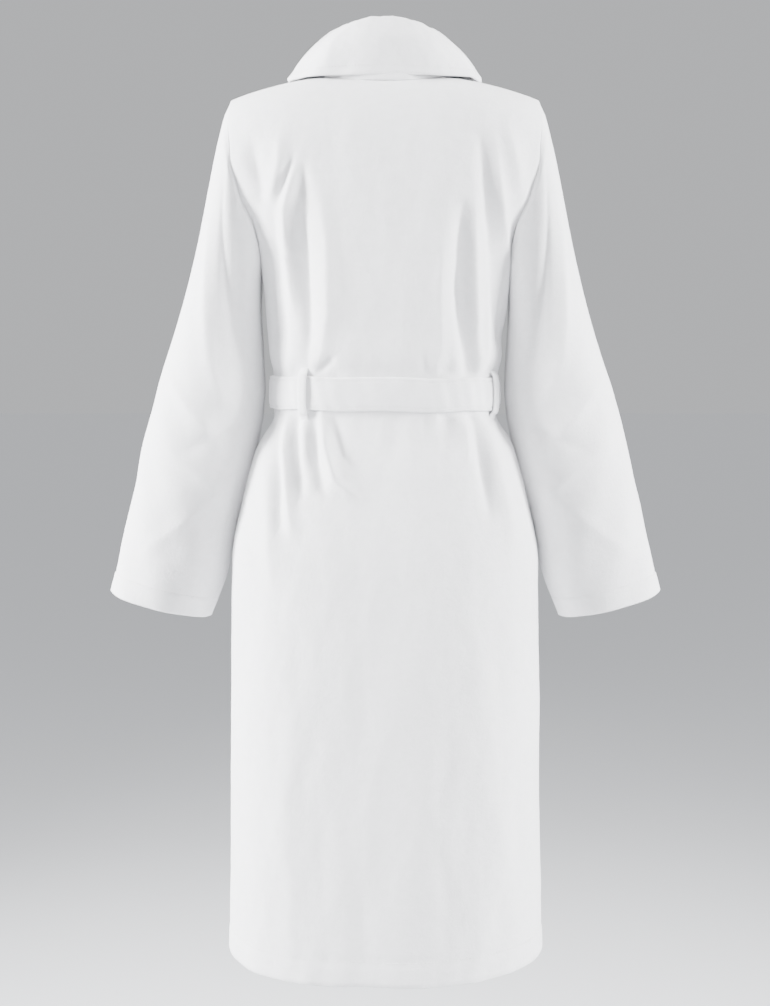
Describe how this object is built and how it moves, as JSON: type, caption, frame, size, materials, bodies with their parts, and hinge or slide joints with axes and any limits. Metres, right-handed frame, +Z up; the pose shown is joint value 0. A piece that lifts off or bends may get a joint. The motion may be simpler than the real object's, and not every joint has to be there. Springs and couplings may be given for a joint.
{
  "type": "bathrobe",
  "caption": "White knee-length shawl-collar bathrobe with long sleeves, tied cloth belt in loops, patch pockets and a hanging loop, shaped as if worn.",
  "frame": {"origin": "midway between the two neck points, where a dress form or a hanger holds the robe", "axes": "+Z up along the robe's length, -Y out of the robe's front, +X to the wearer's left"},
  "size_m": [0.7, 0.3198, 1.1622],
  "materials": {
    "robe_cloth": "soft matte cotton velour pile",
    "trim_cloth": "soft matte cotton velour pile, topstitched",
    "belt_cloth": "flat matte cotton velour, edge stitched",
    "tape": "matte woven cotton tape",
    "label": "satin woven tape, blank"
  },
  "bodies": {
    "garment": {"back_panel": "robe_cloth", "right_front_panel": "robe_cloth", "left_front_panel": "robe_cloth", "back_hem": "trim_cloth", "right_front_hem": "trim_cloth", "left_front_hem": "trim_cloth", "collar_stand": "trim_cloth", "collar_fall": "trim_cloth", "right_lapel": "trim_cloth", "left_lapel": "trim_cloth", "neck_tape": "tape", "care_label": "label", "right_shoulder_tape": "tape", "left_shoulder_tape": "tape", "belt": "belt_cloth", "belt_knot": "belt_cloth", "left_belt_loop": "belt_cloth", "right_belt_loop": "belt_cloth", "right_pocket": "robe_cloth", "right_pocket_band": "trim_cloth", "left_pocket": "robe_cloth", "left_pocket_band": "trim_cloth"},
    "right_sleeve_body": {"right_sleeve": "robe_cloth", "right_cuff": "trim_cloth"},
    "left_sleeve_body": {"left_sleeve": "robe_cloth", "left_cuff": "trim_cloth"},
    "right_tail": {"right_belt_tail": "belt_cloth"},
    "left_tail": {"left_belt_tail": "belt_cloth"},
    "loop": {"hanging_loop": "tape"}
  },
  "joints": [
    {"name": "right_sleeve_lift", "type": "hinge", "parent": "garment", "child": "right_sleeve_body", "pos_m": [-0.199, 0, -0.0275], "axis": [0, 1, 0], "range_deg": [0, 60]},
    {"name": "left_sleeve_lift", "type": "hinge", "parent": "garment", "child": "left_sleeve_body", "pos_m": [0.199, 0, -0.0275], "axis": [0, -1, 0], "range_deg": [0, 60]},
    {"name": "right_tail_swing", "type": "hinge", "parent": "garment", "child": "right_tail", "pos_m": [-0.054, -0.124, -0.426], "axis": [-1, 0, 0], "range_deg": [0, 70]},
    {"name": "left_tail_swing", "type": "hinge", "parent": "garment", "child": "left_tail", "pos_m": [-0.008, -0.124, -0.426], "axis": [-1, 0, 0], "range_deg": [0, 70]},
    {"name": "loop_flip", "type": "hinge", "parent": "garment", "child": "loop", "pos_m": [0, 0.0428, -0.018], "axis": [-1, 0, 0], "range_deg": [0, 110]}
  ]
}
